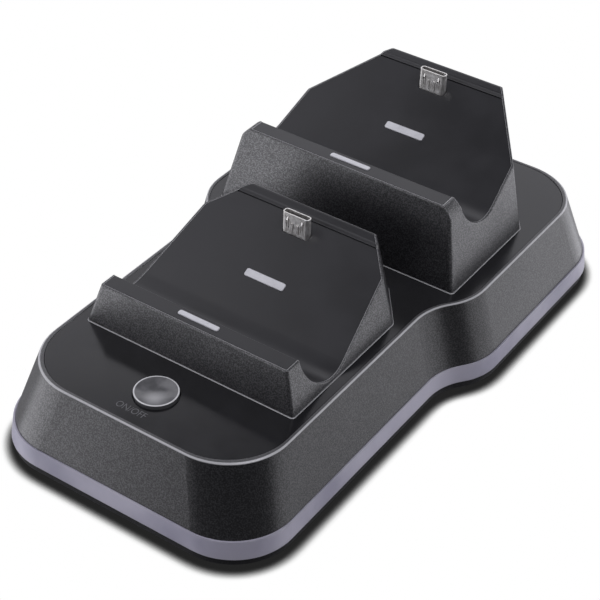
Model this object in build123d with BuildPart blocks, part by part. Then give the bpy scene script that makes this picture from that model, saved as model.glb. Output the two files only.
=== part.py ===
"""Charging dock for two game controllers: a waisted base with a light ring, and two stepped cradles."""
import os
from math import cos, radians, sin, sqrt, tan
from types import SimpleNamespace

from build123d import *

os.makedirs("parts", exist_ok=True)

# Base outline, taken at the rim round the deck
front_half_width = 30.5
rear_half_width = 37.1
corner_radius = 14.6
waist_length = 18.4

# Places along the deck, from the front rim to the rear rim
button_margin = 6.15
cradle_margin = 5.32
cradle_gap = 6.37
tail_margin = 5.34

# Base heights, from the table up
foot_height = 0.7
cover_edge = 2.5
ring_height = 4.35
skirt_height = 15.55
skirt_flare = 4.1
ring_flare = 0.75
ring_proud = 0.3
deck_drop = 0.15
deck_thickness = 3.0

# Base walls and edges
housing_wall = 2.0
ring_wall = 2.2
rim_width = 0.9
rim_round = 0.5
deck_round = 0.15
deck_gap = 0.05
ledge_width = 2.2
ledge_thickness = 1.6
cover_inset = 0.3
cover_chamfer = 0.8
cover_rib_height = 2.4
cover_rib_wall = 1.4
fit_gap = 0.1

# Cradle section, the same on both cradles
lip_depth = 4.45
trough_radius = 9.2
panel_angle = 26.5
panel_length = 26.9
step_rise = 0.75
step_angle = 55.0
step_round = 0.8
groove_width = 0.35
groove_depth = 0.35
strip_length = 3.85
strip_angle = 15.0
crest_drop = 0.7
crest_angle = 58.0
crest_round = 1.0
front_slope = 0.165
rear_slope = 0.12
face_thickness = 1.4
face_margin = 0.5
face_gap = 0.08
cradle_wall = 1.7
cradle_corner_round = 0.8
shell_edge_round = 0.3
foot_bead = 0.15
lip_end_bulge = 0.25
face_edge_round = 0.2
pocket_depth = 1.5
pocket_gap = 0.12
deck_opening_margin = 6.5

# Light bars in the lips and panels
bar_length = 10.3
panel_bar_width = 1.9
lip_bar_width = 1.4
bar_gap = 0.06
bar_corner = 0.45
bar_proud = 0.22
bar_flange = 0.9
bar_flange_height = 0.8
bar_slope_position = 9.7
lip_bar_setback = 2.65
pipe_setback = 2.15
pipe_thickness = 1.0
pipe_width = 8.0
pipe_slot_gap = 0.4

# Plugs that stand up out of the panels
plug_width = 6.85
plug_thickness = 1.8
plug_corner = 0.72
plug_sheet = 0.28
plug_exposed = 4.75
plug_step_distance = 3.9
plug_gap = 0.15
tongue_width = 4.6
tongue_thickness = 0.55
tongue_drop = 1.0
contact_count = 5
contact_pitch = 0.65
contact_width = 0.35
contact_thickness = 0.12
latch_spacing = 3.8
latch_slot_width = 0.7
latch_slot_height = 3.1
latch_drop = 0.8
latch_width = 0.4
latch_height = 1.2
latch_proud = 0.25
rib_spacing = 1.5
rib_width = 0.5
rib_height = 2.4
rib_proud = 0.14

# Small circuit board under each panel
cradle_board_width = 26.0
cradle_board_start = 5.0
cradle_board_end = 1.0
cradle_board_thickness = 1.2
cradle_post_diameter = 4.2
cradle_post_spacing = 20.0
cradle_post_position = 15.0
led_length = 3.2
led_width = 1.5
led_height = 0.8

# Main circuit board and what it carries
board_side_gap = 11.5
board_front_gap = 4.8
board_rear_gap = 0.3
board_thickness = 1.6
board_lift = 4.8
board_corner = 3.0
board_post_diameter = 6.0
board_post_side = 7.0
board_post_inset = 19.5
chip_width = 5.0
chip_length = 6.2
chip_height = 1.5
ring_led_count = 4
ring_led_pitch = 34.0
ring_led_inset = 1.4
lead_width = 5.0
lead_thickness = 1.0
lead_bend = 3.0
lead_jog = 4.0
lead_plug_distance = 6.0

# Power socket at the back
socket_width = 7.6
socket_height = 2.7
socket_depth = 5.6
socket_corner = 0.7
socket_sheet = 0.3
socket_setback = 0.9
socket_tongue_width = 3.7
socket_tongue_thickness = 0.6
socket_opening_gap = 0.5

# Push button on the deck, with its switch
button_diameter = 9.7
button_gap = 0.2
button_proud = 0.8
button_rim = 0.45
button_dish = 0.5
button_rim_round = 0.15
button_flange = 1.1
button_flange_height = 1.0
button_travel = 0.5
button_stop_gap = 0.05
stem_diameter = 4.4
plunger_diameter = 3.4
plunger_height = 1.6
switch_size = 6.0
switch_height = 3.5
switch_gap = 0.06

# Screws
screw_diameter = 2.2
screw_head_diameter = 4.2
screw_head_height = 1.3
screw_head_chamfer = 0.35
screw_recess_diameter = 1.3
screw_recess_depth = 0.7
screw_hole_gap = 0.4
screw_grip = 0.02
boss_diameter = 5.6
boss_overlap = 0.6
boss_cap = 1.2
housing_boss_diameter = 6.4
cover_screw_inset = 4.5
cover_screw_setback = 16.3
cover_screw_depth = 7.0
cradle_screw_depth = 2.6
board_screw_depth = 3.4
cradle_board_screw_depth = 1.0

# Rubber feet under the cover
foot_diameter = 9.0
foot_recess = 0.5
foot_chamfer = 0.35
foot_inset = 10.5
foot_setback = 6.3

# Heights that follow from the sizes above
cover_bottom = foot_height
cover_top = cover_bottom + cover_edge
ring_top = cover_top + ring_height
rim_top = ring_top + skirt_height
deck_top = rim_top - deck_drop
deck_bottom = deck_top - deck_thickness
pocket_floor = deck_top - pocket_depth
board_bottom = cover_top + board_lift
board_top = board_bottom + board_thickness
panel_slope = radians(panel_angle)
step_slope = radians(step_angle)
strip_slope = radians(strip_angle)
crest_slope = radians(crest_angle)
step_run = step_rise / tan(step_slope)
plug_slope_position = panel_length - plug_step_distance

# The two cradles: the rear one stands higher, is wider and has longer cut corners
front = SimpleNamespace(
    name="front",
    rim_half_width=front_half_width,
    side_margin=3.43,
    lip_rise=9.9,
    side_slope=0.29,
    corner_cut=6.9,
    corner_run=9.18,
    shoulder_round=2.0,
    lip_end_cut=0.0,
    lip_end_drop=0.0,
)
rear = SimpleNamespace(
    name="rear",
    rim_half_width=rear_half_width,
    side_margin=5.08,
    lip_rise=19.45,
    side_slope=0.222,
    corner_cut=12.1,
    corner_run=17.78,
    shoulder_round=0.8,
    lip_end_cut=1.6,
    lip_end_drop=2.7,
)
cradles = (front, rear)

# Length of each cradle's section at its top, and of its foot on the deck
trough_length = trough_radius * (1 + sin(panel_slope))
section_length = lip_depth + trough_length + panel_length * cos(panel_slope) + strip_length
for cradle in cradles:
    cradle.foot_length = section_length + (front_slope + rear_slope) * cradle.lip_rise
    cradle.half_width = cradle.rim_half_width - cradle.side_margin - cradle.side_slope * cradle.lip_rise

# The base is as long as the button, the cradles and the spaces between them; its waist is between the cradles
feet_length = front.foot_length + cradle_gap + rear.foot_length
base_half_length = (button_margin + button_diameter + cradle_margin + feet_length + tail_margin) / 2
button_y = button_margin + button_diameter / 2 - base_half_length
front.foot_front = button_y + button_diameter / 2 + cradle_margin
rear.foot_front = front.foot_front + front.foot_length + cradle_gap
waist_start = rear.foot_front - cradle_gap / 2 - waist_length / 2
waist_end = waist_start + waist_length

for cradle in cradles:
    cradle.lip_top = deck_top + cradle.lip_rise
    cradle.lip_front = cradle.foot_front + front_slope * cradle.lip_rise
    cradle.lip_rear = cradle.lip_front + lip_depth
    cradle.trough_y = cradle.lip_rear + trough_radius
    # Start of the panel, where it leaves the trough's arc
    cradle.panel_y = cradle.trough_y + trough_radius * sin(panel_slope)
    cradle.panel_z = cradle.lip_top - trough_radius * cos(panel_slope)
    cradle.step_y = cradle.panel_y + panel_length * cos(panel_slope)
    cradle.step_z = cradle.panel_z + panel_length * sin(panel_slope)
    cradle.plug_y = cradle.panel_y + plug_slope_position * cos(panel_slope)
    cradle.plug_foot = cradle.panel_z + plug_slope_position * sin(panel_slope)
    cradle.plug_top = cradle.plug_foot + plug_exposed
    cradle.strip_y = cradle.step_y + step_run
    cradle.strip_z = cradle.step_z + step_rise
    cradle.rear_y = cradle.step_y + strip_length
    cradle.shoulder = cradle.rear_y - cradle.corner_run
    cradle.top = cradle.strip_z + (strip_length - step_run) * tan(strip_slope)
    # The crest is where the strip turns down, to meet the rear wall a little below its top
    wall_run = strip_length - step_run - rear_slope * (cradle.top - cradle.lip_top)
    crest_run = wall_run - crest_drop / (tan(crest_slope) + tan(strip_slope))
    cradle.crest_y = cradle.strip_y + crest_run
    cradle.crest_z = cradle.strip_z + crest_run * tan(strip_slope)

# Main board: as wide as the housing's screw bosses allow, and nearly as long as the base
board_half_width = front_half_width - board_side_gap
board_front = board_front_gap - base_half_length
board_rear = base_half_length - board_rear_gap
board_middle = (board_front + board_rear) / 2


def panel_plane(cradle, along, depth):
    """Plane on the panel of a cradle: local x across it, local y up the slope, local z out of it."""
    origin = (
        0,
        cradle.panel_y + along * cos(panel_slope) + depth * sin(panel_slope),
        cradle.panel_z + along * sin(panel_slope) - depth * cos(panel_slope),
    )
    return Plane(origin=origin, x_dir=(1, 0, 0), z_dir=(0, -sin(panel_slope), cos(panel_slope)))


def base_outline(height, grow):
    """Waisted outline of the base at a height, grown outwards, with the same corner radius at every level."""
    narrow = front_half_width + grow
    wide = rear_half_width + grow
    reach = base_half_length + grow
    with BuildSketch(Plane.XY.offset(height)) as outline:
        with BuildLine():
            front_corner = TangentArc(
                (narrow - corner_radius, -reach), (narrow, corner_radius - reach), tangent=(1, 0)
            )
            front_side = Line(front_corner @ 1, (narrow, waist_start))
            waist_in = TangentArc(
                front_side @ 1,
                ((narrow + wide) / 2, waist_start + waist_length / 2),
                tangent=(0, 1),
            )
            waist_out = TangentArc(waist_in @ 1, (wide, waist_end), tangent=waist_in % 1)
            rear_side = Line(waist_out @ 1, (wide, reach - corner_radius))
            rear_corner = TangentArc(rear_side @ 1, (wide - corner_radius, reach), tangent=(0, 1))
            mirror(about=Plane.YZ)
            Line((corner_radius - narrow, -reach), front_corner @ 0)
            Line((corner_radius - wide, reach), rear_corner @ 1)
        make_face()
    return outline.sketch


def rounded_edge(height, grow, turn):
    """Outlines that round off an upper edge by a radius."""
    steps = [radians(angle) for angle in (0, 30, 60, 90)]
    return [base_outline(height - turn * (1 - sin(step)), grow - turn * (1 - cos(step))) for step in steps]


def skirt_grow(height):
    """How far the skirt's outline stands outside the rim's at a height."""
    return skirt_flare * (rim_top - height) / skirt_height


def cradle_outline(cradle, height, inset):
    """Plan of a cradle at a height: a rectangle with its two rear corners cut off, moved in by an inset."""
    below = cradle.lip_top - height
    side = cradle.half_width + cradle.side_slope * below
    front_y = cradle.lip_front - front_slope * below
    rear_y = cradle.rear_y + rear_slope * below
    corner_ratio = cradle.corner_cut / cradle.corner_run
    rear_x = cradle.half_width - cradle.corner_cut + (cradle.side_slope - corner_ratio * rear_slope) * below
    with BuildSketch(Plane.XY.offset(height)) as outline:
        with BuildLine():
            Polyline(
                (side, front_y),
                (side, cradle.shoulder),
                (rear_x, rear_y),
                (-rear_x, rear_y),
                (-side, cradle.shoulder),
                (-side, front_y),
                close=True,
            )
        make_face()
        if inset != 0:
            offset(amount=-inset, kind=Kind.INTERSECTION, mode=Mode.REPLACE)
        if inset < cradle.shoulder_round:
            fillet(outline.vertices().sort_by(Axis.Y)[2:4], cradle.shoulder_round - inset)
        if inset < cradle_corner_round:
            ends = outline.vertices().sort_by(Axis.Y)
            fillet(ends[:2] + ends[-2:], cradle_corner_round - inset)
    return outline.sketch


def cradle_block(cradle, inset):
    """Drafted block that a cradle is cut from, with a straight foot that stands in the deck's pocket."""
    above = cradle.top + cradle_wall
    with BuildPart() as block:
        loft(
            sections=[cradle_outline(cradle, deck_top, inset), cradle_outline(cradle, above, inset)],
            ruled=True,
        )
        extrude(cradle_outline(cradle, deck_top, inset), amount=-pocket_depth)
        if cradle.lip_end_cut > 0:
            # Sloped, slightly domed shoulders at both ends of the lip
            upper = Vector(cradle.half_width - cradle.lip_end_cut - inset, cradle.lip_top)
            side_run = cradle.side_slope * cradle.lip_end_drop
            lower = Vector(cradle.half_width + side_run - inset, cradle.lip_top - cradle.lip_end_drop)
            outward = Vector(cradle.lip_end_drop, cradle.lip_end_cut + side_run).normalized()
            with BuildSketch(Plane.XZ):
                with BuildLine():
                    ThreePointArc(upper, (upper + lower) / 2 + outward * lip_end_bulge, lower)
                    Polyline(lower, (cradle.half_width * 2, lower.Y), (cradle.half_width * 2, upper.Y), upper)
                make_face()
                mirror(about=Plane.YZ)
            extrude(amount=base_half_length * 2, both=True, mode=Mode.SUBTRACT)
    return block.part


def moved_corner(y, z, before, after, depth):
    """A corner of the section between two slopes, moved down square to both by a depth."""
    lean = (before + after) / 2
    move = depth / cos((after - before) / 2)
    return (y + move * sin(lean), z - move * cos(lean))


def section_line(cradle, depth):
    """Corner points of a cradle's top section, moved down by a depth, from the lip to the rear."""
    radius = trough_radius + depth
    lip_z = cradle.lip_top - depth
    reach = sqrt(radius**2 - depth**2)
    middle = radians(45) - panel_slope / 2
    crest = moved_corner(cradle.crest_y, cradle.crest_z, strip_slope, -crest_slope, depth)
    return SimpleNamespace(
        start=(cradle.lip_front - lip_depth, lip_z),
        lip=(cradle.trough_y - reach, lip_z),
        arc=(cradle.trough_y - radius * sin(middle), cradle.lip_top - radius * cos(middle)),
        panel=(cradle.trough_y + radius * sin(panel_slope), cradle.lip_top - radius * cos(panel_slope)),
        step=moved_corner(cradle.step_y, cradle.step_z, panel_slope, step_slope, depth),
        strip=moved_corner(cradle.strip_y, cradle.strip_z, step_slope, strip_slope, depth),
        crest=crest,
        end=(crest[0] + lip_depth, crest[1] - lip_depth * tan(crest_slope)),
    )


def draw_section(points):
    """Draws the lip, the trough's arc, the panel, the step, the strip behind it and its fall to the rear."""
    Line(points.start, points.lip)
    ThreePointArc(points.lip, points.arc, points.panel)
    Polyline(points.panel, points.step, points.strip, points.crest, points.end)


def soften_section(outline, points):
    """Rounds the step and the crest in the sketch of a section."""
    turns = ((points.step, step_round), (points.strip, step_round), (points.crest, crest_round))
    for corner, radius in turns:
        fillet(outline.vertices().sort_by_distance(corner)[0], radius)


def section_band(cradle, upper, lower):
    """Solid sheet across the whole width, between two depths below the cradle's top section."""
    top = section_line(cradle, upper)
    bottom = section_line(cradle, lower)
    with BuildPart() as band:
        with BuildSketch(Plane.YZ) as outline:
            with BuildLine():
                draw_section(top)
                draw_section(bottom)
                Line(top.start, bottom.start)
                Line(top.end, bottom.end)
            make_face()
            soften_section(outline, top)
        extrude(amount=rear_half_width, both=True)
    return band.part


def above_section(cradle, depth):
    """Everything above the cradle's top section moved down by a depth."""
    line = section_line(cradle, depth)
    ceiling = cradle.top + trough_radius
    with BuildPart() as space:
        with BuildSketch(Plane.YZ) as outline:
            with BuildLine():
                draw_section(line)
                Polyline(line.end, (line.end[0], ceiling), (line.start[0], ceiling), line.start)
            make_face()
            if depth == 0:
                soften_section(outline, line)
        extrude(amount=rear_half_width, both=True)
    return space.part


def boss_places(cradle):
    """Four screw bosses just inside the side walls, two under the lip and two under the panel."""
    inward = cradle_wall + boss_diameter / 2 - boss_overlap
    boss_x = cradle.half_width + cradle.side_slope * cradle.lip_rise - inward
    front_y = cradle.lip_front - front_slope * cradle.lip_rise + inward
    rear_y = cradle.shoulder - boss_diameter
    return [(-boss_x, front_y), (boss_x, front_y), (-boss_x, rear_y), (boss_x, rear_y)]


def screw_solid(depth, head_up):
    """One self-tapping pan-head screw along Z, its head resting at the origin, with a cross recess."""
    turn = 1 if head_up else -1
    with BuildPart(Plane.XY) as screw:
        Cylinder(
            screw_diameter / 2, depth, align=(Align.CENTER, Align.CENTER, Align.MAX if head_up else Align.MIN)
        )
        Cylinder(
            screw_head_diameter / 2,
            screw_head_height,
            align=(Align.CENTER, Align.CENTER, Align.MIN if head_up else Align.MAX),
        )
        rim = screw.edges().filter_by(GeomType.CIRCLE).sort_by(Axis.Z)[-1 if head_up else 0]
        chamfer(rim, screw_head_chamfer)
        with Locations((0, 0, turn * (screw_head_height - screw_recess_depth))):
            align_recess = (Align.CENTER, Align.CENTER, Align.MIN if head_up else Align.MAX)
            Box(screw_recess_diameter * 2, screw_recess_diameter / 3, screw_head_height,
                align=align_recess, mode=Mode.SUBTRACT)
            Box(screw_recess_diameter / 3, screw_recess_diameter * 2, screw_head_height,
                align=align_recess, mode=Mode.SUBTRACT)
    return screw.part


def base_corners(inset, setback):
    """Four places near the base's corners, set in from its sides and back from its ends."""
    front_x = front_half_width - inset
    rear_x = rear_half_width - inset
    end_y = base_half_length - setback
    return [(-front_x, -end_y), (front_x, -end_y), (-rear_x, end_y), (rear_x, end_y)]


def finish(part, name):
    """Labels a finished piece and writes it out."""
    part.label = name
    export_step(part, f"parts/{name}.step")


# Bottom cover: a flat plate with a chamfered lower edge, a locating rib, board posts and screw holes
cover_screw_places = base_corners(cover_screw_inset, cover_screw_setback)
foot_places = base_corners(foot_inset, foot_setback)
board_post_x = board_half_width - board_post_side
board_post_ends = (board_front + board_post_inset, board_rear - board_post_inset)
board_post_places = [(side * board_post_x, y) for side in (-1, 1) for y in board_post_ends]
base_grow = skirt_flare + ring_flare
with BuildPart() as bottom_cover:
    extrude(base_outline(cover_bottom, base_grow - cover_inset), amount=cover_edge)
    lower_edge = bottom_cover.faces().sort_by(Axis.Z)[0].outer_wire().edges()
    chamfer(lower_edge, cover_chamfer)
    rib_outside = skirt_flare - ring_wall - fit_gap
    extrude(base_outline(cover_top, rib_outside), amount=cover_rib_height)
    rib_inside = rib_outside - cover_rib_wall
    extrude(base_outline(cover_top, rib_inside), amount=cover_rib_height, mode=Mode.SUBTRACT)
    with Locations([(x, y, cover_top) for x, y in board_post_places]):
        Cylinder(board_post_diameter / 2, board_lift, align=(Align.CENTER, Align.CENTER, Align.MIN))
    with Locations([(x, y, board_bottom) for x, y in board_post_places]):
        Hole(screw_diameter / 2 + screw_grip, depth=board_screw_depth + fit_gap)
    with Locations([(x, y, cover_bottom) for x, y in foot_places]):
        Cylinder(
            foot_diameter / 2 + fit_gap,
            foot_recess,
            align=(Align.CENTER, Align.CENTER, Align.MIN),
            mode=Mode.SUBTRACT,
        )
    with Locations([(x, y, cover_bottom) for x, y in cover_screw_places]):
        Cylinder(
            screw_diameter / 2 + screw_hole_gap / 2,
            cover_edge,
            align=(Align.CENTER, Align.CENTER, Align.MIN),
            mode=Mode.SUBTRACT,
        )
        Cylinder(
            screw_head_diameter / 2 + screw_hole_gap / 2,
            screw_head_height,
            align=(Align.CENTER, Align.CENTER, Align.MIN),
            mode=Mode.SUBTRACT,
        )
finish(bottom_cover.part, "bottom_cover")

# Rubber feet: four pads pressed into the cover's recesses
with BuildPart() as rubber_feet:
    with Locations([(x, y, 0) for x, y in foot_places]):
        Cylinder(
            foot_diameter / 2, foot_height + foot_recess, align=(Align.CENTER, Align.CENTER, Align.MIN)
        )
    chamfer(rubber_feet.edges().group_by(Axis.Z)[0], foot_chamfer)
finish(rubber_feet.part, "rubber_feet")

# Cover screws: driven from below into the housing's bosses
cover_screw = screw_solid(cover_screw_depth, head_up=False)
with BuildPart() as cover_screws:
    with Locations([(x, y, cover_bottom + screw_head_height) for x, y in cover_screw_places]):
        add(cover_screw)
finish(cover_screws.part, "cover_screws")

# Light ring: a clear band between the cover and the skirt
with BuildPart() as light_ring:
    ring_sections = [base_outline(cover_top, base_grow), base_outline(ring_top, skirt_flare + ring_proud)]
    loft(sections=ring_sections, ruled=True)
    extrude(base_outline(cover_top, skirt_flare - ring_wall), amount=ring_height, mode=Mode.SUBTRACT)
finish(light_ring.part, "light_ring")

# Power socket's place at the back of the main board
socket_z = board_top + socket_height / 2
socket_mouth = base_half_length + skirt_grow(socket_z) - socket_setback

# Upper housing: the tapered skirt with its rim, the ledge that carries the deck, and the screw bosses
ledge_top = deck_bottom
ledge_bottom = ledge_top - ledge_thickness
with BuildPart() as upper_housing:
    loft(sections=[base_outline(ring_top, skirt_flare)] + rounded_edge(rim_top, 0, rim_round), ruled=True)
    loft(
        sections=[
            base_outline(ring_top, skirt_flare - housing_wall),
            base_outline(ledge_bottom, skirt_grow(ledge_bottom) - housing_wall),
        ],
        ruled=True,
        mode=Mode.SUBTRACT,
    )
    extrude(base_outline(ledge_bottom, -rim_width - ledge_width), amount=ledge_thickness, mode=Mode.SUBTRACT)
    extrude(base_outline(ledge_top, -rim_width), amount=rim_top - ledge_top, mode=Mode.SUBTRACT)
    with Locations([(x, y, cover_top) for x, y in cover_screw_places]):
        Cylinder(
            housing_boss_diameter / 2, ledge_top - cover_top, align=(Align.CENTER, Align.CENTER, Align.MIN)
        )
        Cylinder(
            screw_diameter / 2 + screw_grip,
            cover_screw_depth,
            align=(Align.CENTER, Align.CENTER, Align.MIN),
            mode=Mode.SUBTRACT,
        )
    with BuildSketch(Plane.XZ.offset(-base_half_length)):
        with Locations((0, socket_z)):
            RectangleRounded(
                socket_width + 2 * socket_opening_gap,
                socket_height + 2 * socket_opening_gap,
                socket_corner + socket_opening_gap,
            )
    extrude(amount=skirt_flare * 2, both=True, mode=Mode.SUBTRACT)
finish(upper_housing.part, "upper_housing")

# Deck plate: the smooth top, with a pocket and an opening under each cradle and a hole for the button
pocket_thickness = deck_thickness - pocket_depth
with BuildPart() as deck_plate:
    deck_grow = -rim_width - deck_gap
    deck_sections = [base_outline(deck_bottom, deck_grow)] + rounded_edge(deck_top, deck_grow, deck_round)
    loft(sections=deck_sections, ruled=True)
    for cradle in cradles:
        pocket = cradle_outline(cradle, deck_top, -pocket_gap)
        extrude(pocket, amount=-pocket_depth, mode=Mode.SUBTRACT)
        opening = cradle_outline(cradle, deck_top, deck_opening_margin)
        extrude(opening, amount=-deck_thickness, mode=Mode.SUBTRACT)
        with Locations((0, cradle.lip_front + pipe_setback, deck_bottom)):
            Box(
                pipe_width + pipe_slot_gap,
                pipe_thickness + pipe_slot_gap,
                deck_thickness,
                align=(Align.CENTER, Align.CENTER, Align.MIN),
                mode=Mode.SUBTRACT,
            )
        with Locations([(x, y, deck_bottom) for x, y in boss_places(cradle)]):
            Cylinder(
                screw_diameter / 2 + screw_hole_gap / 2,
                deck_thickness,
                align=(Align.CENTER, Align.CENTER, Align.MIN),
                mode=Mode.SUBTRACT,
            )
    with Locations((0, button_y, deck_top)):
        Hole(button_diameter / 2 + button_gap)
finish(deck_plate.part, "deck_plate")

# Cradle screws: driven up through the deck into each cradle's four bosses
cradle_screw = screw_solid(pocket_thickness + cradle_screw_depth, head_up=False)
with BuildPart() as cradle_screws:
    for cradle in cradles:
        with Locations([(x, y, deck_bottom) for x, y in boss_places(cradle)]):
            add(cradle_screw)
finish(cradle_screws.part, "cradle_screws")

# Depths below a panel's surface at which the pieces behind it lie
flange_depth = face_thickness + bar_flange_height
board_depth = flange_depth + led_height
board_back_depth = board_depth + cradle_board_thickness


def plug_outline(grow):
    """Rounded outline of the plug's shell, grown outwards by a distance."""
    RectangleRounded(plug_width + 2 * grow, plug_thickness + 2 * grow, plug_corner + grow)


def make_shell(cradle):
    """Textured shell of a cradle: front, side and rear walls with a recess for the face and screw bosses."""
    recess = section_band(cradle, 0, face_thickness + face_gap) & cradle_block(cradle, face_margin)
    cavity = cradle_block(cradle, cradle_wall) - above_section(cradle, face_thickness)
    with BuildPart() as shell:
        add(cradle_block(cradle, 0))
        add(above_section(cradle, 0), mode=Mode.SUBTRACT)
        tops = shell.faces().filter_by(lambda face: face.normal_at().Z > 0.5)
        walls = shell.faces().filter_by(lambda face: 0.05 < face.normal_at().Z < 0.5)
        fillet(tops.edges() & walls.edges(), shell_edge_round)
        # Narrow bead round the foot, on the deck
        bead_foot = cradle_outline(cradle, deck_top, -foot_bead)
        loft(sections=[bead_foot, cradle_outline(cradle, deck_top + foot_bead, 0)], ruled=True)
        add(recess, mode=Mode.SUBTRACT)
        add(cavity, mode=Mode.SUBTRACT)
        with Locations([(x, y, pocket_floor) for x, y in boss_places(cradle)]):
            Cylinder(
                boss_diameter / 2,
                cradle_screw_depth + boss_cap,
                align=(Align.CENTER, Align.CENTER, Align.MIN),
            )
            Cylinder(
                screw_diameter / 2 + screw_grip,
                cradle_screw_depth + fit_gap,
                align=(Align.CENTER, Align.CENTER, Align.MIN),
                mode=Mode.SUBTRACT,
            )
    return shell.part


def make_face_panel(cradle):
    """Smooth face of a cradle: lip top, trough, panel, step groove and strip, with its slots and posts."""
    sheet = section_band(cradle, 0, face_thickness) & cradle_block(cradle, face_margin + face_gap)
    with BuildPart() as face:
        add(sheet)
        across = face.edges().filter_by(Axis.X)
        lip_edge = across.sort_by_distance((0, cradle.lip_rear, cradle.lip_top))[0]
        fillet(lip_edge, face_edge_round)
        # Thin groove along the step
        with BuildSketch(Plane.YZ):
            with Locations((cradle.step_y, cradle.step_z)):
                Rectangle(
                    groove_width, groove_depth * 2, rotation=panel_angle, align=(Align.MAX, Align.CENTER)
                )
        extrude(amount=rear_half_width, both=True, mode=Mode.SUBTRACT)
        # Slot for the plug and windows for the two light bars
        with BuildSketch(Plane.XY.offset(cradle.plug_top)):
            with Locations((0, cradle.plug_y)):
                plug_outline(plug_gap)
        extrude(amount=-(plug_exposed + trough_radius), mode=Mode.SUBTRACT)
        with BuildSketch(panel_plane(cradle, bar_slope_position, -bar_proud)):
            RectangleRounded(bar_length + 2 * bar_gap, panel_bar_width + 2 * bar_gap, bar_corner + bar_gap)
        extrude(amount=-(face_thickness + 2 * bar_proud), mode=Mode.SUBTRACT)
        with BuildSketch(Plane.XY.offset(cradle.lip_top + bar_proud)):
            with Locations((0, cradle.lip_front + lip_bar_setback)):
                RectangleRounded(bar_length + 2 * bar_gap, lip_bar_width + 2 * bar_gap, bar_corner + bar_gap)
        extrude(amount=-(face_thickness + 2 * bar_proud), mode=Mode.SUBTRACT)
        # Posts that carry the small board behind the panel
        with BuildSketch(panel_plane(cradle, cradle_post_position, face_thickness)):
            with GridLocations(cradle_post_spacing, 1, 2, 1):
                Circle(cradle_post_diameter / 2)
        extrude(amount=-(board_depth - face_thickness))
        with BuildSketch(panel_plane(cradle, cradle_post_position, board_depth)):
            with GridLocations(cradle_post_spacing, 1, 2, 1):
                Circle(screw_diameter / 2 + screw_grip)
        extrude(amount=cradle_board_screw_depth + fit_gap, mode=Mode.SUBTRACT)
    return face.part


def make_panel_bar(cradle):
    """Light bar in the panel: a bright bar with a flange behind the face."""
    with BuildPart() as bar:
        with BuildSketch(panel_plane(cradle, bar_slope_position, -bar_proud)):
            RectangleRounded(bar_length, panel_bar_width, bar_corner)
        extrude(amount=-(bar_proud + face_thickness))
        fillet(bar.faces().sort_by(Axis.Z)[-1].edges(), bar_proud / 2)
        with BuildSketch(panel_plane(cradle, bar_slope_position, face_thickness)):
            Rectangle(bar_length + 2 * bar_flange, panel_bar_width + 2 * bar_flange)
        extrude(amount=-bar_flange_height)
    return bar.part


def make_lip_bar(cradle):
    """Light bar in the lip: its foot is a flat light guide that reaches down to the main board."""
    guide_top = cradle.lip_top - face_thickness
    guide_bottom = board_top + led_height
    with BuildPart() as bar:
        with BuildSketch(Plane.XY.offset(guide_top)):
            with Locations((0, cradle.lip_front + lip_bar_setback)):
                RectangleRounded(bar_length, lip_bar_width, bar_corner)
        extrude(amount=face_thickness + bar_proud)
        fillet(bar.faces().sort_by(Axis.Z)[-1].edges(), bar_proud / 2)
        with BuildSketch(Plane.XY.offset(guide_bottom)):
            with Locations((0, cradle.lip_front + pipe_setback)):
                Rectangle(pipe_width, pipe_thickness)
        extrude(amount=guide_top - guide_bottom)
    return bar.part


def make_plug_shell(cradle):
    """Pressed metal shell of the plug: a rounded sleeve with two latch springs and two pressed ribs."""
    front_face = cradle.plug_y - plug_thickness / 2
    slot_top = cradle.plug_top - latch_drop
    slot_bottom = slot_top - latch_slot_height
    hook_top = slot_top - fit_gap
    with BuildPart() as shell:
        with BuildSketch(Plane.XY.offset(cradle.plug_top)):
            with Locations((0, cradle.plug_y)):
                plug_outline(0)
                RectangleRounded(
                    plug_width - 2 * plug_sheet,
                    plug_thickness - 2 * plug_sheet,
                    plug_corner - plug_sheet,
                    mode=Mode.SUBTRACT,
                )
        extrude(amount=-(plug_exposed + trough_radius))
        split(bisect_by=panel_plane(cradle, plug_slope_position, board_depth), keep=Keep.TOP)
        # Latch springs: leaves that rise in narrow slots, each with a hook that stands proud
        for side in (-1, 1):
            with Locations((side * latch_spacing / 2, front_face, (slot_top + slot_bottom) / 2)):
                Box(latch_slot_width, plug_sheet * 2, latch_slot_height, mode=Mode.SUBTRACT)
            with BuildSketch(Plane.YZ.offset(side * latch_spacing / 2)):
                with BuildLine():
                    Polyline(
                        (front_face + plug_sheet, hook_top),
                        (front_face, hook_top),
                        (front_face - latch_proud, hook_top - latch_height * 2 / 3),
                        (front_face, hook_top - latch_height),
                        (front_face, slot_bottom - fit_gap),
                        (front_face + plug_sheet, slot_bottom - fit_gap),
                        close=True,
                    )
                make_face()
            extrude(amount=latch_width / 2, both=True)
            # Pressed ribs below, between the hooks
            with Locations((side * rib_spacing / 2, front_face, cradle.plug_foot + rib_height / 2 + fit_gap)):
                Box(rib_width, rib_proud * 2, rib_height)
    return shell.part


def make_plug_core(cradle):
    """Moulded core of the plug: a block in the foot of the shell and the tongue that carries the contacts."""
    with BuildPart() as core:
        with BuildSketch(Plane.XY.offset(cradle.plug_foot)):
            with Locations((0, cradle.plug_y)):
                plug_outline(-plug_sheet - screw_grip)
        extrude(amount=-trough_radius)
        split(bisect_by=panel_plane(cradle, plug_slope_position, board_depth), keep=Keep.TOP)
        with BuildSketch(Plane.XY.offset(cradle.plug_foot)):
            with Locations((0, cradle.plug_y)):
                Rectangle(tongue_width, tongue_thickness)
        extrude(amount=plug_exposed - tongue_drop)
    return core.part


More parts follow.
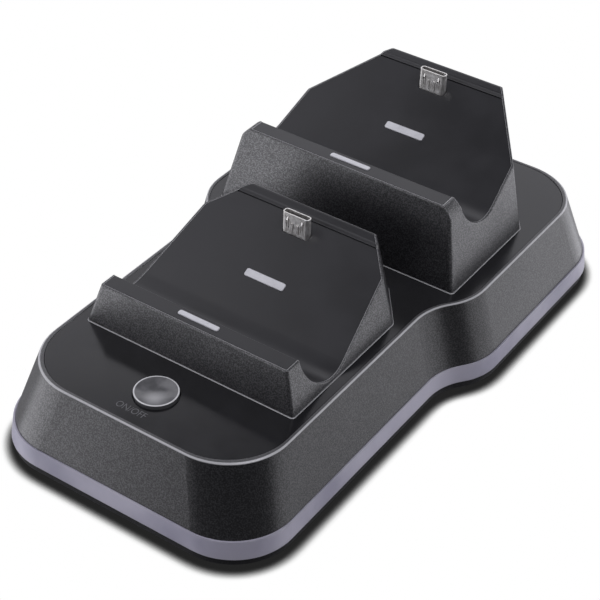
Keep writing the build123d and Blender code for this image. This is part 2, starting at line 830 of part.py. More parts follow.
def make_plug_contacts(cradle):
    """Five spring contacts on the front of the tongue."""
    contact_length = plug_exposed - tongue_drop - 2 * contact_width
    contact_y = cradle.plug_y - tongue_thickness / 2 - contact_thickness / 2
    with BuildPart() as contacts:
        with Locations((0, contact_y, cradle.plug_foot + contact_length / 2)):
            with GridLocations(contact_pitch, 1, contact_count, 1):
                Box(contact_width, contact_thickness, contact_length)
    return contacts.part


def make_cradle_board(cradle):
    """Small board behind the panel, with two screw holes."""
    length = plug_slope_position + cradle_board_end - cradle_board_start
    middle = cradle_board_start + length / 2
    with BuildPart() as board:
        with BuildSketch(panel_plane(cradle, middle, board_depth)):
            Rectangle(cradle_board_width, length)
            with Locations((0, cradle_post_position - middle)):
                with GridLocations(cradle_post_spacing, 1, 2, 1):
                    Circle(screw_diameter / 2 + screw_hole_gap / 2, mode=Mode.SUBTRACT)
        extrude(amount=-cradle_board_thickness)
    return board.part


def make_lead(cradle):
    """Flat lead from the small board down to the main board, with one jog in it."""
    seat = panel_plane(cradle, plug_slope_position - lead_plug_distance, board_back_depth)
    start = seat.origin
    jog_z = deck_bottom - lead_jog
    with BuildPart() as lead:
        with BuildLine(Plane.YZ) as path:
            FilletPolyline(
                (start.Y, start.Z + lead_width),
                (start.Y, jog_z),
                (start.Y - lead_jog, jog_z - lead_jog),
                (start.Y - lead_jog, board_top),
                radius=lead_bend,
            )
        with BuildSketch(Plane(origin=path.line @ 0, x_dir=(1, 0, 0), z_dir=(0, 0, -1))):
            Rectangle(lead_width, lead_thickness)
        sweep(path=path.line)
        split(bisect_by=seat, keep=Keep.BOTTOM)
    return lead.part


for cradle in cradles:
    finish(make_shell(cradle), f"{cradle.name}_cradle_shell")
    finish(make_face_panel(cradle), f"{cradle.name}_cradle_face")
    finish(make_panel_bar(cradle), f"{cradle.name}_panel_light_bar")
    finish(make_lip_bar(cradle), f"{cradle.name}_lip_light_bar")
    finish(make_plug_shell(cradle), f"{cradle.name}_plug_shell")
    finish(make_plug_core(cradle), f"{cradle.name}_plug_core")
    finish(make_plug_contacts(cradle), f"{cradle.name}_plug_contacts")
    finish(make_cradle_board(cradle), f"{cradle.name}_cradle_board")
    finish(make_lead(cradle), f"{cradle.name}_board_lead")

# Screws that hold the small boards to the posts behind the panels
cradle_board_screw = screw_solid(cradle_board_thickness + cradle_board_screw_depth, head_up=False)
with BuildPart() as cradle_board_screws:
    for cradle in cradles:
        seat = panel_plane(cradle, cradle_post_position, board_back_depth)
        with Locations(seat):
            with GridLocations(cradle_post_spacing, 1, 2, 1):
                add(cradle_board_screw)
finish(cradle_board_screws.part, "cradle_board_screws")

# Indicator lights: one under each light bar
with BuildPart() as indicator_lights:
    for cradle in cradles:
        with Locations(panel_plane(cradle, bar_slope_position, board_depth)):
            Box(led_length, led_width, led_height, align=(Align.CENTER, Align.CENTER, Align.MIN))
        with Locations((0, cradle.lip_front + pipe_setback, board_top)):
            Box(led_length, led_width, led_height, align=(Align.CENTER, Align.CENTER, Align.MIN))
finish(indicator_lights.part, "indicator_lights")

# Main board: a long board on the cover's posts
with BuildPart() as main_board:
    with BuildSketch(Plane.XY.offset(board_bottom)):
        with Locations((0, board_middle)):
            RectangleRounded(2 * board_half_width, board_rear - board_front, board_corner)
        with Locations(board_post_places):
            Circle(screw_diameter / 2 + screw_hole_gap / 2, mode=Mode.SUBTRACT)
    extrude(amount=board_thickness)
finish(main_board.part, "main_board")

# Board screws: from above into the cover's posts
board_screw = screw_solid(board_thickness + board_screw_depth, head_up=True)
with BuildPart() as board_screws:
    with Locations([(x, y, board_top) for x, y in board_post_places]):
        add(board_screw)
finish(board_screws.part, "board_screws")

# Charge control chips: one for each cradle
with BuildPart() as charge_chips:
    with Locations([(0, cradle.panel_y, board_top) for cradle in cradles]):
        Box(chip_width, chip_length, chip_height, align=(Align.CENTER, Align.CENTER, Align.MIN))
finish(charge_chips.part, "charge_chips")

# Ring lights: along both edges of the main board's underside, at the height of the clear band
ring_led_spread = 2 * (board_half_width - ring_led_inset)
with BuildPart() as ring_lights:
    with Locations((0, board_middle, board_bottom)):
        with GridLocations(ring_led_spread, ring_led_pitch, 2, ring_led_count):
            Box(led_width, led_length, led_height, align=(Align.CENTER, Align.CENTER, Align.MAX))
finish(ring_lights.part, "ring_lights")

# Power socket: a pressed metal sleeve on the main board, open at the back of the skirt
with BuildPart() as socket_shell:
    with BuildSketch(Plane.XZ.offset(-socket_mouth)):
        with Locations((0, socket_z)):
            RectangleRounded(socket_width, socket_height, socket_corner)
            RectangleRounded(
                socket_width - 2 * socket_sheet,
                socket_height - 2 * socket_sheet,
                socket_corner - socket_sheet,
                mode=Mode.SUBTRACT,
            )
    extrude(amount=socket_depth)
finish(socket_shell.part, "socket_shell")

# Core of the socket: a back wall and the tongue
with BuildPart() as socket_core:
    with BuildSketch(Plane.XZ.offset(socket_depth - socket_mouth)):
        with Locations((0, socket_z)):
            RectangleRounded(
                socket_width - 2 * socket_sheet - 2 * screw_grip,
                socket_height - 2 * socket_sheet - 2 * screw_grip,
                socket_corner - socket_sheet,
            )
    extrude(amount=-socket_depth / 4)
    with BuildSketch(Plane.XZ.offset(socket_depth - socket_mouth)):
        with Locations((0, socket_z)):
            Rectangle(socket_tongue_width, socket_tongue_thickness)
    extrude(amount=-socket_depth * 3 / 4)
finish(socket_core.part, "socket_core")

# Switch body under the button, on the main board
switch_top = board_top + switch_height
plunger_sink = plunger_height / 2
with BuildPart() as switch_body:
    with Locations((0, button_y, board_top)):
        Box(switch_size, switch_size, switch_height, align=(Align.CENTER, Align.CENTER, Align.MIN))
    with Locations((0, button_y, switch_top)):
        Hole(plunger_diameter / 2 + switch_gap, depth=plunger_sink + button_travel + switch_gap)
finish(switch_body.part, "switch_body")

# Switch plunger: the part of the switch that the button pushes down
plunger_bottom = switch_top - plunger_sink
with BuildPart() as switch_plunger:
    with Locations((0, button_y, plunger_bottom)):
        Cylinder(plunger_diameter / 2, plunger_height, align=(Align.CENTER, Align.CENTER, Align.MIN))
finish(switch_plunger.part, "switch_plunger")

# Button cap: a clear turned disc with a dished top, a flange that stops under the deck, and a stem
plunger_top = plunger_bottom + plunger_height
cap_top = deck_top + button_proud
flange_top = deck_bottom - button_stop_gap
flange_bottom = flange_top - button_flange_height
cap_radius = button_diameter / 2
dish_radius = cap_radius - button_rim
with BuildPart() as button_cap:
    with BuildSketch(Plane.XZ.offset(-button_y)):
        with BuildLine():
            ThreePointArc(
                (0, cap_top - button_dish),
                (dish_radius / 2, cap_top - button_dish * 3 / 4),
                (dish_radius, cap_top),
            )
            Polyline(
                (dish_radius, cap_top),
                (cap_radius, cap_top),
                (cap_radius, flange_top),
                (cap_radius + button_flange, flange_top),
                (cap_radius + button_flange, flange_bottom),
                (stem_diameter / 2, flange_bottom),
                (stem_diameter / 2, plunger_top),
                (0, plunger_top),
                (0, cap_top - button_dish),
            )
        make_face()
    revolve(axis=Axis((0, button_y, 0), (0, 0, 1)))
    cap_edge = button_cap.edges().filter_by(GeomType.CIRCLE).group_by(Axis.Z)[-1]
    fillet(cap_edge, button_rim_round)
finish(button_cap.part, "button_cap")
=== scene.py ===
import math

import bpy
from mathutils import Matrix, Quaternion, Vector


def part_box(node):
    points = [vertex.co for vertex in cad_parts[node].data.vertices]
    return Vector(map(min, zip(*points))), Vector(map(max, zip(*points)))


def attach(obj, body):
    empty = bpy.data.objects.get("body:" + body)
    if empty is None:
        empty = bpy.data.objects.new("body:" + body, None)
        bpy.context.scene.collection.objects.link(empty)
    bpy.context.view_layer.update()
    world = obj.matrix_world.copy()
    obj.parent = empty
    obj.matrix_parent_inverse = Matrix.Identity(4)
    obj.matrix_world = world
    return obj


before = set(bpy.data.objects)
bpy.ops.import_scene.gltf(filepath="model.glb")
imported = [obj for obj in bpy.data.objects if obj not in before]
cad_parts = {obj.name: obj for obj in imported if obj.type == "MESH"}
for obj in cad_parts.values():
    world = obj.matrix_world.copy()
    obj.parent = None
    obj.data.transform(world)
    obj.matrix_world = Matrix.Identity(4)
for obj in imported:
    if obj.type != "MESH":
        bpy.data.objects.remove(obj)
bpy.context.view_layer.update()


# Bottom cover
# The dock stands on a flat plate moulded in black ABS, whose edge shows as a thin dark line
# under the light ring. It is spark eroded to a dull finish and screwed up into the housing.

def dress(material, *names):
    """Gives these pieces of the frame one finish."""
    for name in names:
        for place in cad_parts[name].material_slots:
            place.material = material


def new_finish(name):
    """A new material with its node tree and its main shader."""
    material = bpy.data.materials.new(name)
    material.use_nodes = True
    return material, material.node_tree, material.node_tree.nodes["Principled BSDF"]


def between(tree, factor, low, high):
    """A value that runs from low to high as the factor goes from 0 to 1."""
    node = tree.nodes.new("ShaderNodeMapRange")
    node.inputs["To Min"].default_value = low
    node.inputs["To Max"].default_value = high
    tree.links.new(factor, node.inputs["Value"])
    return node.outputs["Result"]


def fade(tree, value, start, stop):
    """A soft step from 0 to 1 as the value goes from start to stop."""
    node = tree.nodes.new("ShaderNodeMapRange")
    node.interpolation_type = "SMOOTHSTEP"
    node.inputs["From Min"].default_value = start
    node.inputs["From Max"].default_value = stop
    tree.links.new(value, node.inputs["Value"])
    return node.outputs["Result"]


def tint(tree, factor, dark, light):
    """A colour that runs from dark to light as the factor goes from 0 to 1."""
    node = tree.nodes.new("ShaderNodeMix")
    node.data_type = "RGBA"
    tree.links.new(factor, node.inputs["Factor"])
    for socket, colour in (("A", dark), ("B", light)):
        place = [i for i in node.inputs if i.name == socket and i.type == "RGBA"][0]
        if isinstance(colour, tuple):
            place.default_value = (*colour, 1.0)
        else:
            tree.links.new(colour, place)
    return [o for o in node.outputs if o.type == "RGBA"][0]


def relief(tree, shader, height, depth):
    """Puts the height on the shader as fine relief, depth in metres."""
    node = tree.nodes.new("ShaderNodeBump")
    node.inputs["Strength"].default_value = 1.0
    node.inputs["Distance"].default_value = depth
    tree.links.new(height, node.inputs["Height"])
    tree.links.new(node.outputs["Normal"], shader.inputs["Normal"])


def group_tree(name, inputs, outputs):
    """An empty node group with number inputs and outputs, and its two end nodes."""
    tree = bpy.data.node_groups.new(name, "ShaderNodeTree")
    for label in inputs:
        tree.interface.new_socket(name=label, in_out="INPUT", socket_type="NodeSocketFloat")
    for label in outputs:
        tree.interface.new_socket(name=label, in_out="OUTPUT", socket_type="NodeSocketFloat")
    return tree, tree.nodes.new("NodeGroupInput"), tree.nodes.new("NodeGroupOutput")


def noise(tree, per_metre, detail):
    """Noise in the object's own coordinates, with so many blotches per metre."""
    place = tree.nodes.new("ShaderNodeTexCoord")
    node = tree.nodes.new("ShaderNodeTexNoise")
    node.inputs["Detail"].default_value = detail
    tree.links.new(place.outputs["Object"], node.inputs["Vector"])
    tree.links.new(per_metre, node.inputs["Scale"])
    return node.outputs["Fac"]


def use(tree, group, **values):
    """Places a node group in a material with these input values."""
    node = tree.nodes.new("ShaderNodeGroup")
    node.node_tree = group
    for label, value in values.items():
        node.inputs[label].default_value = value
    return node.outputs


grain_group, ends, out = group_tree("mould_grain", ["Grains"], ["Height", "Fleck"])
grain_group.links.new(noise(grain_group, ends.outputs["Grains"], 3.0), out.inputs["Height"])
spots = noise(grain_group, ends.outputs["Grains"], 1.0)
grain_group.links.new(fade(grain_group, spots, 0.36, 0.72), out.inputs["Fleck"])

marks_group, ends, out = group_tree("handling_marks", ["Marks"], ["Smudge"])
blotches = noise(marks_group, ends.outputs["Marks"], 4.0)
marks_group.links.new(fade(marks_group, blotches, 0.3, 0.7), out.inputs["Smudge"])

cover_black, tree, shader = new_finish("cover_black")
grain = use(tree, grain_group, Grains=3200.0)
marks = use(tree, marks_group, Marks=160.0)
cover_dark = (0.010, 0.010, 0.011)
cover_light = (0.022, 0.022, 0.024)
tree.links.new(tint(tree, grain["Fleck"], cover_dark, cover_light), shader.inputs["Base Color"])
tree.links.new(between(tree, marks["Smudge"], 0.5, 0.66), shader.inputs["Roughness"])
shader.inputs["Specular IOR Level"].default_value = 0.25
relief(tree, shader, grain["Height"], 0.00002)
dress(cover_black, "bottom_cover")


# Rubber feet
# Four round pads die cut from soft black sheet, glued into shallow seats under the cover.
# The sheet is matt, with a little dust in its surface.

foot_rubber, tree, shader = new_finish("foot_rubber")
grain = use(tree, grain_group, Grains=2000.0)
marks = use(tree, marks_group, Marks=420.0)
tree.links.new(tint(tree, marks["Smudge"], (0.012, 0.012, 0.012), (0.035, 0.034, 0.033)),
               shader.inputs["Base Color"])
tree.links.new(between(tree, grain["Fleck"], 0.74, 0.9), shader.inputs["Roughness"])
relief(tree, shader, grain["Height"], 0.00004)
dress(foot_rubber, "rubber_feet")


# Screws
# Small zinc plated steel screws close the cover, hold the cradles from below and fix the boards.
# Their heads are cold formed, so they are bright with faint turning marks.

screw_steel, tree, shader = new_finish("screw_steel")
marks = use(tree, marks_group, Marks=1500.0)
grain = use(tree, grain_group, Grains=6000.0)
tree.links.new(tint(tree, marks["Smudge"], (0.42, 0.42, 0.43), (0.62, 0.62, 0.60)),
               shader.inputs["Base Color"])
tree.links.new(between(tree, marks["Smudge"], 0.24, 0.42), shader.inputs["Roughness"])
shader.inputs["Metallic"].default_value = 1.0
relief(tree, shader, grain["Height"], 0.000004)
dress(screw_steel, "cover_screws", "cradle_screws", "cradle_board_screws", "board_screws")


# Circuit boards
# Glass fibre boards with green solder resist, 1.6 mm thick, with copper tracks that show through
# as paler lines. The main one lies on posts of the cover, a small one sits behind each panel.

board_green, tree, shader = new_finish("board_green")
place = tree.nodes.new("ShaderNodeTexCoord")
tracks = tree.nodes.new("ShaderNodeTexBrick")
tracks.inputs["Scale"].default_value = 260.0
tracks.inputs["Mortar Size"].default_value = 0.06
tracks.inputs["Color1"].default_value = (0.0, 0.0, 0.0, 1.0)
tracks.inputs["Color2"].default_value = (0.25, 0.25, 0.25, 1.0)
tracks.inputs["Mortar"].default_value = (1.0, 1.0, 1.0, 1.0)
tree.links.new(place.outputs["Object"], tracks.inputs["Vector"])
tree.links.new(tint(tree, tracks.outputs["Color"], (0.006, 0.075, 0.026), (0.020, 0.150, 0.060)),
               shader.inputs["Base Color"])
marks = use(tree, marks_group, Marks=300.0)
tree.links.new(between(tree, marks["Smudge"], 0.28, 0.42), shader.inputs["Roughness"])
relief(tree, shader, tracks.outputs["Color"], 0.00003)
dress(board_green, "main_board", "front_cradle_board", "rear_cradle_board")


# Charge chips and push switch
# The charge control chips and the switch's body are black epoxy mouldings, soldered to the main
# board. They are matt, with the fine grain of the mould.

chip_black, tree, shader = new_finish("chip_black")
grain = use(tree, grain_group, Grains=5200.0)
tree.links.new(tint(tree, grain["Fleck"], (0.014, 0.014, 0.014), (0.030, 0.030, 0.031)),
               shader.inputs["Base Color"])
tree.links.new(between(tree, grain["Fleck"], 0.48, 0.6), shader.inputs["Roughness"])
relief(tree, shader, grain["Height"], 0.00001)
dress(chip_black, "charge_chips", "switch_body")


# Lights
# White LED packages with a yellowish filling, along the edge of the main board for the ring and
# behind each of the four bars.

led_white, tree, shader = new_finish("led_white")
marks = use(tree, marks_group, Marks=900.0)
tree.links.new(tint(tree, marks["Smudge"], (0.78, 0.74, 0.52), (0.86, 0.85, 0.80)),
               shader.inputs["Base Color"])
tree.links.new(between(tree, marks["Smudge"], 0.28, 0.4), shader.inputs["Roughness"])
dress(led_white, "ring_lights", "indicator_lights")


# Leads
# A flat grey ribbon lead drops from each cradle board to the main board. Its wires show as
# fine ribs along it.

lead_grey, tree, shader = new_finish("lead_grey")
place = tree.nodes.new("ShaderNodeTexCoord")
ribs = tree.nodes.new("ShaderNodeTexWave")
ribs.inputs["Scale"].default_value = 260.0
ribs.inputs["Distortion"].default_value = 0.4
tree.links.new(place.outputs["Object"], ribs.inputs["Vector"])
tree.links.new(tint(tree, ribs.outputs["Fac"], (0.20, 0.20, 0.21), (0.42, 0.42, 0.43)),
               shader.inputs["Base Color"])
tree.links.new(between(tree, ribs.outputs["Fac"], 0.5, 0.38), shader.inputs["Roughness"])
relief(tree, shader, ribs.outputs["Fac"], 0.0002)
dress(lead_grey, "front_board_lead", "rear_board_lead")


# Light ring
# A frosted clear band of acrylic caught between the housing and the cover. It spreads the light
# of the LEDs behind it, and unlit it looks lavender grey with paler patches.

ring_clear, tree, shader = new_finish("ring_clear")
grain = use(tree, grain_group, Grains=1800.0)
marks = use(tree, marks_group, Marks=45.0)
tree.links.new(tint(tree, marks["Smudge"], (0.31, 0.30, 0.385), (0.50, 0.485, 0.57)),
               shader.inputs["Base Color"])
tree.links.new(between(tree, grain["Fleck"], 0.34, 0.46), shader.inputs["Roughness"])
shader.inputs["Subsurface Weight"].default_value = 0.35
shader.inputs["Subsurface Radius"].default_value = (0.004, 0.004, 0.004)
shader.inputs["Subsurface Scale"].default_value = 1.0
relief(tree, shader, grain["Height"], 0.00001)
dress(ring_clear, "light_ring")


# Upper housing and cradle shells
# Charcoal ABS mouldings with a spark eroded texture: a fine grit that glints where light grazes
# it. The tool's parting edges are rounded a little, and a painted highlight of pale grey lies
# along them.

# The mask of rounded edges, along which a painted highlight or a painted shade is laid.
painted_edge_group, ends, out = group_tree("painted_edge_mask", ["Width"], ["Edge"])
rounded = painted_edge_group.nodes.new("ShaderNodeBevel")
rounded.samples = 6
painted_edge_group.links.new(ends.outputs["Width"], rounded.inputs["Radius"])
true_face = painted_edge_group.nodes.new("ShaderNodeNewGeometry")
lean = painted_edge_group.nodes.new("ShaderNodeVectorMath")
lean.operation = "DOT_PRODUCT"
painted_edge_group.links.new(rounded.outputs["Normal"], lean.inputs[0])
painted_edge_group.links.new(true_face.outputs["Normal"], lean.inputs[1])
painted_edge_group.links.new(fade(painted_edge_group, lean.outputs["Value"], 0.995, 0.93), out.inputs["Edge"])


def moulded_black(name, pale, dull, bright, rough):
    """The textured plastic, whose grit is pale and glints between dull and bright."""
    material, tree, shader = new_finish(name)
    grain = use(tree, grain_group, Grains=3300.0)
    marks = use(tree, marks_group, Marks=70.0)
    grit = tint(tree, grain["Fleck"], (0.005, 0.005, 0.006), (pale, pale, 1.15 * pale))
    tree.links.new(between(tree, marks["Smudge"], rough, rough + 0.05),
                   shader.inputs["Roughness"])
    tree.links.new(between(tree, grain["Fleck"], dull, bright),
                   shader.inputs["Specular IOR Level"])
    relief(tree, shader, grain["Height"], 0.00003)
    return material, tree, shader, grit


# The pale grey of the painted highlights on the shell edges and the housing's rim.
painted_highlight_grey = (0.52, 0.52, 0.53)
textured_black, tree, shader, grit = moulded_black("textured_black", 0.028, 0.9, 1.9, 0.40)
# Painted highlight: the shell's edges are mixed towards pale grey.
edge = use(tree, painted_edge_group, Width=0.00022)["Edge"]
tree.links.new(tint(tree, between(tree, edge, 0.0, 0.8), grit, painted_highlight_grey),
               shader.inputs["Base Color"])
dress(textured_black, "front_cradle_shell", "rear_cradle_shell")

# Painted highlight: the rounded top of the housing's rim is mixed towards pale grey, less on its
# flat land.
rim_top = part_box("upper_housing")[1].z
round_bottom = rim_top - 0.00045
round_middle = rim_top - 0.00022
land_start = rim_top - 0.00006
land_level = rim_top - 0.00002
housing_black, tree, shader, grit = moulded_black("housing_black", 0.014, 0.46, 0.86, 0.28)
place = tree.nodes.new("ShaderNodeTexCoord")
height = tree.nodes.new("ShaderNodeSeparateXYZ")
tree.links.new(place.outputs["Object"], height.inputs["Vector"])
round_foot = fade(tree, height.outputs["Z"], round_bottom, round_middle)
flat_land = fade(tree, height.outputs["Z"], land_start, land_level)
painted_rim_highlight = tree.nodes.new("ShaderNodeMath")
painted_rim_highlight.operation = "SUBTRACT"
tree.links.new(round_foot, painted_rim_highlight.inputs[0])
tree.links.new(between(tree, flat_land, 0.0, 0.85), painted_rim_highlight.inputs[1])
tree.links.new(tint(tree, painted_rim_highlight.outputs["Value"], grit, painted_highlight_grey),
               shader.inputs["Base Color"])
dress(housing_black, "upper_housing")


# Deck plate
# A smooth black plate bonded inside the housing's rim. It is moulded in a polished tool and
# mirrors the cradles softly, with a trace of wiping marks.

deck_black, tree, shader = new_finish("deck_black")
marks = use(tree, marks_group, Marks=110.0)
grain = use(tree, grain_group, Grains=700.0)
tree.links.new(tint(tree, marks["Smudge"], (0.010, 0.010, 0.011), (0.014, 0.014, 0.016)),
               shader.inputs["Base Color"])
tree.links.new(between(tree, marks["Smudge"], 0.16, 0.24), shader.inputs["Roughness"])
relief(tree, shader, grain["Height"], 0.000003)
dress(deck_black, "deck_plate")


# Lettering
# ON/OFF is pad printed on the deck in front of the button, in a thin dark grey ink that hardly
# stands out from the black.

deck_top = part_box("deck_plate")[1].z
letter_height = 0.00175
letter_squeeze = 0.82
capital_share = 0.69
letter_middle = Vector((-0.0011, -0.0621))
ink_thickness = 0.00002
writing = bpy.data.curves.new("on_off_writing", "FONT")
writing.body = "ON/OFF"
writing.align_x = "CENTER"
writing.size = letter_height / capital_share
writing.extrude = ink_thickness / 2.0
draft = bpy.data.objects.new("on_off_draft", writing)
bpy.context.scene.collection.objects.link(draft)
bpy.context.view_layer.update()
drawn = draft.evaluated_get(bpy.context.evaluated_depsgraph_get())
letters = bpy.data.meshes.new_from_object(drawn)
bpy.data.objects.remove(draft)
for point in letters.vertices:
    point.co.x = point.co.x * letter_squeeze + letter_middle.x
    point.co.y += letter_middle.y - letter_height / 2.0
    point.co.z += deck_top + ink_thickness / 2.0
lettering = bpy.data.objects.new("on_off_lettering", letters)
bpy.context.scene.collection.objects.link(lettering)

ink_grey, tree, shader = new_finish("ink_grey")
grain = use(tree, grain_group, Grains=4200.0)
tree.links.new(tint(tree, grain["Fleck"], (0.105, 0.105, 0.110), (0.150, 0.150, 0.157)),
               shader.inputs["Base Color"])
tree.links.new(between(tree, grain["Fleck"], 0.4, 0.55), shader.inputs["Roughness"])
letters.materials.clear()
letters.materials.append(ink_grey)
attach(lettering, "dock")


# Plugs and power socket
# The shells are folded from nickel plated steel strip, with latch hooks and ribs pressed in.
# Each holds a black moulded core, and the plugs carry gilt spring contacts on it.

plug_metal, tree, shader = new_finish("plug_metal")
marks = use(tree, marks_group, Marks=1100.0)
grain = use(tree, grain_group, Grains=7000.0)
tree.links.new(tint(tree, marks["Smudge"], (0.74, 0.72, 0.69), (0.92, 0.91, 0.89)),
               shader.inputs["Base Color"])
tree.links.new(between(tree, marks["Smudge"], 0.42, 0.50), shader.inputs["Roughness"])
shader.inputs["Metallic"].default_value = 1.0
relief(tree, shader, grain["Height"], 0.000003)
dress(plug_metal, "front_plug_shell", "rear_plug_shell", "socket_shell")

plug_core, tree, shader = new_finish("plug_core")
grain = use(tree, grain_group, Grains=4800.0)
tree.links.new(tint(tree, grain["Fleck"], (0.010, 0.010, 0.010), (0.024, 0.024, 0.025)),
               shader.inputs["Base Color"])
tree.links.new(between(tree, grain["Fleck"], 0.4, 0.55), shader.inputs["Roughness"])
relief(tree, shader, grain["Height"], 0.000008)
dress(plug_core, "front_plug_core", "rear_plug_core", "socket_core", "switch_plunger")

contact_gold, tree, shader = new_finish("contact_gold")
marks = use(tree, marks_group, Marks=1600.0)
tree.links.new(tint(tree, marks["Smudge"], (0.72, 0.50, 0.20), (0.88, 0.68, 0.34)),
               shader.inputs["Base Color"])
tree.links.new(between(tree, marks["Smudge"], 0.2, 0.34), shader.inputs["Roughness"])
shader.inputs["Metallic"].default_value = 1.0
dress(contact_gold, "front_plug_contacts", "rear_plug_contacts")


# Light bars
# Milky acrylic bars pressed into windows of the panel and the lip. Light enters from behind and
# spreads through them, so they look even and white.

light_bar, tree, shader = new_finish("light_bar")
marks = use(tree, marks_group, Marks=380.0)
grain = use(tree, grain_group, Grains=2400.0)
# Painted shade: the bars' rounded edges are mixed towards a darker grey.
edge = use(tree, painted_edge_group, Width=0.00035)
milk = tint(tree, marks["Smudge"], (0.66, 0.66, 0.69), (0.74, 0.74, 0.77))
tree.links.new(tint(tree, between(tree, edge["Edge"], 0.0, 0.6), milk, (0.46, 0.46, 0.49)),
               shader.inputs["Base Color"])
tree.links.new(between(tree, marks["Smudge"], 0.26, 0.36), shader.inputs["Roughness"])
relief(tree, shader, grain["Height"], 0.000006)
dress(light_bar, "front_panel_light_bar", "rear_panel_light_bar",
      "front_lip_light_bar", "rear_lip_light_bar")


# Cradle faces
# A thin smooth moulding lies in the recess of each cradle shell: lip top, trough, panel and the
# strip behind the step in one piece. It is satin black, a shade softer than the deck.

face_black, tree, shader = new_finish("face_black")
marks = use(tree, marks_group, Marks=80.0)
grain = use(tree, grain_group, Grains=2200.0)
tree.links.new(tint(tree, marks["Smudge"], (0.016, 0.016, 0.018), (0.021, 0.021, 0.024)),
               shader.inputs["Base Color"])
tree.links.new(between(tree, marks["Smudge"], 0.30, 0.38), shader.inputs["Roughness"])
relief(tree, shader, grain["Height"], 0.000006)
dress(face_black, "front_cradle_face", "rear_cradle_face")


# Push button
# A clear polycarbonate cap with a dished top, which presses the switch below it. It is smoky;
# its rim carries a bright painted highlight, a paler spot of painted light lies where the dish
# would gather the light, and it is a little darker round its outer wall.

def from_axis(tree, x, y):
    """How far a point of the piece lies from an upright axis."""
    place = tree.nodes.new("ShaderNodeTexCoord")
    shift = tree.nodes.new("ShaderNodeVectorMath")
    shift.operation = "SUBTRACT"
    shift.inputs[1].default_value = (x, y, 0.0)
    tree.links.new(place.outputs["Object"], shift.inputs[0])
    flat = tree.nodes.new("ShaderNodeVectorMath")
    flat.operation = "MULTIPLY"
    flat.inputs[1].default_value = (1.0, 1.0, 0.0)
    tree.links.new(shift.outputs["Vector"], flat.inputs[0])
    reach = tree.nodes.new("ShaderNodeVectorMath")
    reach.operation = "LENGTH"
    tree.links.new(flat.outputs["Vector"], reach.inputs[0])
    return reach.outputs["Value"]


cap_low, cap_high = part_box("button_cap")
cap_x = (cap_low.x + cap_high.x) / 2.0
cap_y = (cap_low.y + cap_high.y) / 2.0
rim_radius = 0.00485
rim_wide = 0.00028
painted_spot_x = cap_x + 0.0010
painted_spot_y = cap_y - 0.0020
painted_spot_radius = 0.0034
button_clear, tree, shader = new_finish("button_clear")
marks = use(tree, marks_group, Marks=420.0)
# Painted light: a paler spot in the dish and a bright highlight round the rim.
painted_light_spot = fade(tree, from_axis(tree, painted_spot_x, painted_spot_y), painted_spot_radius, 0.0)
reach = from_axis(tree, cap_x, cap_y)
painted_cap_rim_highlight = fade(tree, reach, rim_radius - 1.5 * rim_wide, rim_radius - rim_wide)
outer_wall = fade(tree, reach, rim_radius - 0.00008, rim_radius - 0.00002)
smoke = tint(tree, marks["Smudge"], (0.105, 0.105, 0.110), (0.165, 0.165, 0.172))
glow = tint(tree, painted_light_spot, smoke, (0.40, 0.40, 0.41))
rimmed = tint(tree, painted_cap_rim_highlight, glow, (0.75, 0.75, 0.76))
tree.links.new(tint(tree, outer_wall, rimmed, (0.10, 0.10, 0.105)), shader.inputs["Base Color"])
tree.links.new(between(tree, marks["Smudge"], 0.10, 0.18), shader.inputs["Roughness"])
shader.inputs["IOR"].default_value = 1.58
dress(button_clear, "button_cap")


# Studio floor
# A plain white sheet under the dock. It darkens only close round the foot of the dock, where the
# dock shades it, and the softboxes shine past it as they would round a small stand.

floor_mesh = bpy.data.meshes.new("studio_floor")
floor_reach = 3.0
shade_reach = 0.004
darkest_shade = 0.018
mirrored_share = 0.12
floor_mesh.from_pydata([(-floor_reach, -floor_reach, 0.0), (floor_reach, -floor_reach, 0.0),
                        (floor_reach, floor_reach, 0.0), (-floor_reach, floor_reach, 0.0)],
                       [], [(0, 1, 2, 3)])
floor = bpy.data.objects.new("studio_floor", floor_mesh)
bpy.context.scene.collection.objects.link(floor)

floor_white, tree, shader = new_finish("floor_white")
tree.nodes.remove(shader)
shade = tree.nodes.new("ShaderNodeAmbientOcclusion")
shade.samples = 32
shade.inputs["Distance"].default_value = shade_reach
soften = tree.nodes.new("ShaderNodeMath")
soften.operation = "POWER"
tree.links.new(fade(tree, shade.outputs["AO"], 0.50, 0.97), soften.inputs[0])
soften.inputs[1].default_value = 2.0
glow = tree.nodes.new("ShaderNodeEmission")
tree.links.new(between(tree, soften.outputs["Value"], darkest_shade, 1.0),
               glow.inputs["Strength"])
clear = tree.nodes.new("ShaderNodeBsdfTransparent")
path = tree.nodes.new("ShaderNodeLightPath")
seen = path.outputs["Is Camera Ray"]
for kind, share in (("Is Glossy Ray", mirrored_share), ("Is Transmission Ray", 1.0)):
    either = tree.nodes.new("ShaderNodeMath")
    either.operation = "MULTIPLY_ADD"
    tree.links.new(path.outputs[kind], either.inputs[0])
    either.inputs[1].default_value = share
    tree.links.new(seen, either.inputs[2])
    seen = either.outputs["Value"]
mixed = tree.nodes.new("ShaderNodeMixShader")
tree.links.new(seen, mixed.inputs["Fac"])
tree.links.new(clear.outputs["BSDF"], mixed.inputs[1])
tree.links.new(glow.outputs["Emission"], mixed.inputs[2])
tree.links.new(mixed.outputs["Shader"], tree.nodes["Material Output"].inputs["Surface"])
floor_mesh.materials.append(floor_white)


# Studio lights
# Tall softboxes stand at the left and at the right rear and rake along the walls, so that the
# corner facing the camera stays dark. Weaker ones above light the deck, the panels and the bars.

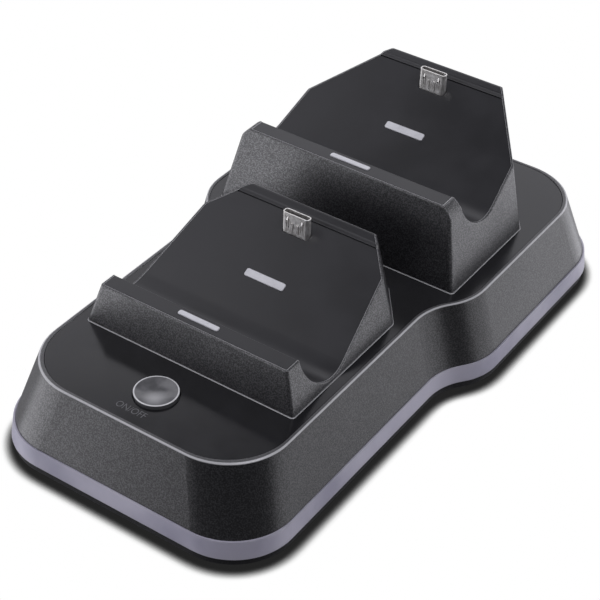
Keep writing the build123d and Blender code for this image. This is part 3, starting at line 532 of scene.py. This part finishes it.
def softbox(name, azimuth, elevation, distance, width, height, radiance):
    """A softbox aimed at the dock; azimuth is measured from the dock's front towards its right."""
    a = math.radians(azimuth)
    e = math.radians(elevation)
    out_of_dock = Vector((math.sin(a) * math.cos(e), -math.cos(a) * math.cos(e), math.sin(e)))
    lamp = bpy.data.lights.new(name, "AREA")
    lamp.shape = "RECTANGLE"
    lamp.size = width
    lamp.size_y = height
    lamp.energy = radiance * math.pi * width * height
    lamp.color = (0.98, 0.975, 1.03)
    holder = bpy.data.objects.new(name, lamp)
    holder.location = Vector((0.0, 0.0, 0.02)) + distance * out_of_dock
    holder.rotation_mode = "QUATERNION"
    holder.rotation_quaternion = out_of_dock.to_track_quat("Z", "Y")
    holder.visible_camera = False
    bpy.context.scene.collection.objects.link(holder)


softbox("left_softbox", -51.0, -5.0, 0.60, 0.53, 0.56, 2.7)
softbox("left_rear_softbox", -105.0, -5.0, 0.60, 0.62, 0.56, 0.45)
softbox("right_softbox", 120.0, -5.0, 0.60, 0.56, 0.56, 1.15)
softbox("rear_softbox", 159.0, -5.0, 0.60, 0.29, 0.56, 1.9)
softbox("rear_end_softbox", 186.0, -5.0, 0.60, 0.28, 0.56, 0.4)
softbox("rear_left_softbox", -147.0, 31.0, 0.303, 0.45, 0.19, 1.0)
softbox("top_left_softbox", -85.0, 53.0, 0.42, 0.35, 0.18, 0.9)
softbox("top_right_softbox", 75.0, 60.0, 0.60, 0.40, 0.30, 3.6)
softbox("key_softbox", -40.0, 48.0, 0.60, 0.40, 0.30, 1.2)

world = bpy.data.worlds.new("studio_air")
bpy.context.scene.world = world
world.use_nodes = True
air = world.node_tree
air_path = air.nodes.new("ShaderNodeLightPath")
air_colour = tint(air, air_path.outputs["Is Camera Ray"], (0.10, 0.10, 0.11), (1.0, 1.0, 1.0))
air.links.new(air_colour, air.nodes["Background"].inputs["Color"])


# Camera
# A long lens looks down at the dock from its front right, rolled by two degrees. It stands so far
# off that upright edges stay nearly parallel.

aim = Vector((0.00388, -0.00882, 0.0200))
view_azimuth = math.radians(33.3)
view_elevation = math.radians(37.98)
view_roll = math.radians(2.03)
view_distance = 0.38479
towards_camera = Vector((math.sin(view_azimuth) * math.cos(view_elevation),
                         -math.cos(view_azimuth) * math.cos(view_elevation),
                         math.sin(view_elevation)))
lens = bpy.data.cameras.new("photo_camera")
lens.sensor_width = 36.0
lens.lens = 103.54
lens.clip_start = 0.01
camera = bpy.data.objects.new("photo_camera", lens)
camera.location = aim + view_distance * towards_camera
camera.rotation_mode = "QUATERNION"
camera.rotation_quaternion = (towards_camera.to_track_quat("Z", "Y")
                              @ Quaternion((0.0, 0.0, 1.0), view_roll))
bpy.context.scene.collection.objects.link(camera)
bpy.context.scene.camera = camera
bpy.context.scene.view_settings.view_transform = "Standard"
